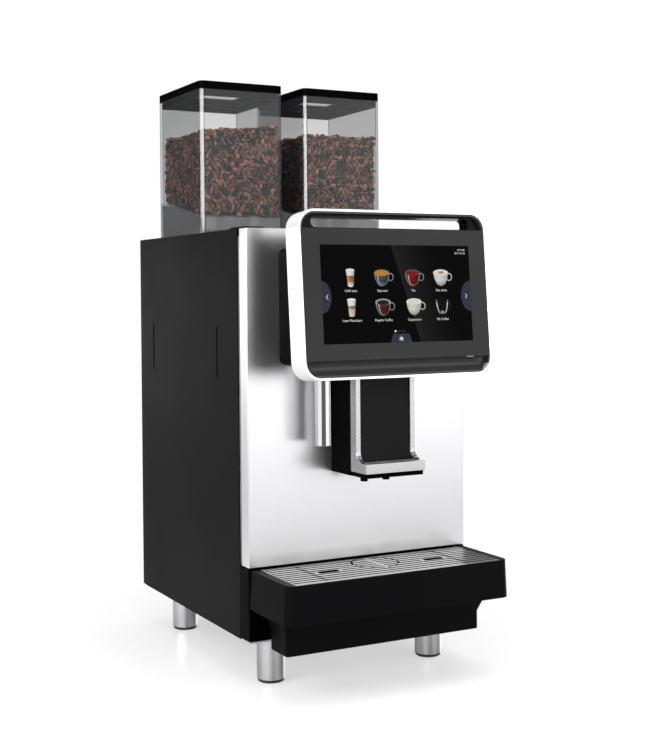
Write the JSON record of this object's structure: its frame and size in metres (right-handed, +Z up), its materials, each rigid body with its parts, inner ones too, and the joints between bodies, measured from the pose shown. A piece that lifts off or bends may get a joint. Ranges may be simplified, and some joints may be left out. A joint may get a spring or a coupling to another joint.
{
  "type": "coffee machine",
  "caption": "Countertop bean-to-cup coffee machine with lidded bean hoppers, a tilted touch screen on a hinged silver front, a sliding coffee outlet and a drip tray.",
  "frame": {"origin": "on the floor, in the middle of the machine's width and overall depth", "axes": "+Z up, +Y to the rear, +X to the right as seen from the front"},
  "size_m": [0.34, 0.534, 0.8293],
  "materials": {
    "black_steel": "fine satin powder coat",
    "satin_silver": "fine satin grain",
    "band_silver": "satin anodised",
    "foot_tube": "turned satin",
    "chrome": "polished",
    "grid_steel": "polished stainless",
    "black_plastic": "satin moulded",
    "gloss_black": "glossy moulded",
    "rubber": "matt",
    "screen_glass": "glossy, black printed border",
    "display": "plain",
    "smoked_plastic": "clear smoked",
    "clear_plastic": "clear",
    "roast_bean": "oily roast",
    "zinc_sheet": "bare zinc",
    "cast_alloy": "cast",
    "burr_steel": "ground",
    "boiler_steel": "satin",
    "brass": "turned",
    "board_green": "lacquered",
    "grey_plastic": "moulded"
  },
  "bodies": {
    "machine": {"base_pan": "zinc_sheet", "front_frame": "zinc_sheet", "left_side_panel": "black_steel", "right_side_panel": "black_steel", "rear_panel": "black_steel", "top_cover": "black_steel", "lower_fascia": "black_plastic", "foot_front_left": "foot_tube", "foot_front_right": "foot_tube", "foot_rear_left": "foot_tube", "foot_rear_right": "foot_tube", "foot_pad_front_left": "rubber", "foot_pad_front_right": "rubber", "foot_pad_rear_left": "rubber", "foot_pad_rear_right": "rubber", "tray_runner": "black_steel", "hinge_bracket_upper": "black_steel", "hinge_bracket_lower": "black_steel", "inner_deck": "zinc_sheet", "grinder_left": "cast_alloy", "grinder_right": "cast_alloy", "boiler": "boiler_steel", "water_pump": "grey_plastic", "brew_unit_frame": "black_plastic", "grounds_container": "grey_plastic", "control_board": "board_green", "fan_frame": "black_plastic", "service_recess": "zinc_sheet", "power_inlet": "black_plastic", "water_inlet": "brass", "drain_outlet": "grey_plastic"},
    "door": {"front_door": "satin_silver", "screen_mount_box": "black_plastic", "screen_band": "band_silver", "screen_liner": "gloss_black", "screen_rear_housing": "black_plastic", "screen_glass": "screen_glass", "display_module": "display", "hot_water_pipe": "chrome", "outlet_guide": "cast_alloy"},
    "outlet_head": {"outlet_shell": "black_plastic", "outlet_trim": "band_silver", "outlet_front_cover": "gloss_black", "spout_pair": "black_plastic"},
    "tray": {"drip_tray": "black_plastic"},
    "grid_left": {"drip_grid_left": "grid_steel"},
    "grid_right": {"drip_grid_right": "grid_steel"},
    "bin_left": {"hopper_left": "smoked_plastic", "beans_left": "roast_bean"},
    "bin_right": {"hopper_right": "smoked_plastic", "beans_right": "roast_bean"},
    "lid_left": {"hopper_lid_left": "black_plastic", "lid_window_left": "clear_plastic"},
    "lid_right": {"hopper_lid_right": "black_plastic", "lid_window_right": "clear_plastic"},
    "burr_left_rotor": {"burr_left": "burr_steel"},
    "burr_right_rotor": {"burr_right": "burr_steel"},
    "fan": {"fan_rotor": "grey_plastic"},
    "piston": {"brew_piston": "burr_steel"},
    "rocker": {"power_rocker": "grey_plastic"}
  },
  "joints": [
    {"name": "door_hinge", "type": "hinge", "parent": "machine", "child": "door", "pos_m": [-0.163, -0.1315, 0.1616], "axis": [0, 0, -1], "range_deg": [0, 100]},
    {"name": "outlet_height", "type": "slide", "parent": "door", "child": "outlet_head", "axis": [0, 0, 1], "range_m": [-0.045, 0.03]},
    {"name": "tray_pull", "type": "slide", "parent": "machine", "child": "tray", "axis": [0, -1, 0], "range_m": [0, 0.12]},
    {"name": "grid_left_lift", "type": "slide", "parent": "tray", "child": "grid_left", "axis": [0, 0, 1], "range_m": [0, 0.05]},
    {"name": "grid_right_lift", "type": "slide", "parent": "tray", "child": "grid_right", "axis": [0, 0, 1], "range_m": [0, 0.05]},
    {"name": "hopper_left_lift", "type": "slide", "parent": "machine", "child": "bin_left", "axis": [0, 0, 1], "range_m": [0, 0.06]},
    {"name": "hopper_right_lift", "type": "slide", "parent": "machine", "child": "bin_right", "axis": [0, 0, 1], "range_m": [0, 0.06]},
    {"name": "lid_left_lift", "type": "slide", "parent": "bin_left", "child": "lid_left", "axis": [0, 0, 1], "range_m": [0, 0.05]},
    {"name": "lid_right_lift", "type": "slide", "parent": "bin_right", "child": "lid_right", "axis": [0, 0, 1], "range_m": [0, 0.05]},
    {"name": "burr_left_spin", "type": "hinge", "parent": "machine", "child": "burr_left_rotor", "pos_m": [-0.1022, 0.042, 0.55], "axis": [0, 0, 1], "continuous": true},
    {"name": "burr_right_spin", "type": "hinge", "parent": "machine", "child": "burr_right_rotor", "pos_m": [0.0628, 0.042, 0.55], "axis": [0, 0, 1], "continuous": true},
    {"name": "fan_spin", "type": "hinge", "parent": "machine", "child": "fan", "pos_m": [-0.06, 0.2512, 0.54], "axis": [0, 1, 0], "continuous": true},
    {"name": "piston_slide", "type": "slide", "parent": "machine", "child": "piston", "axis": [0, 0, 1], "range_m": [0, 0.06]},
    {"name": "rocker_tilt", "type": "hinge", "parent": "machine", "child": "rocker", "pos_m": [0.06, 0.2472, 0.115], "axis": [1, 0, 0], "range_deg": [-8, 8]}
  ]
}
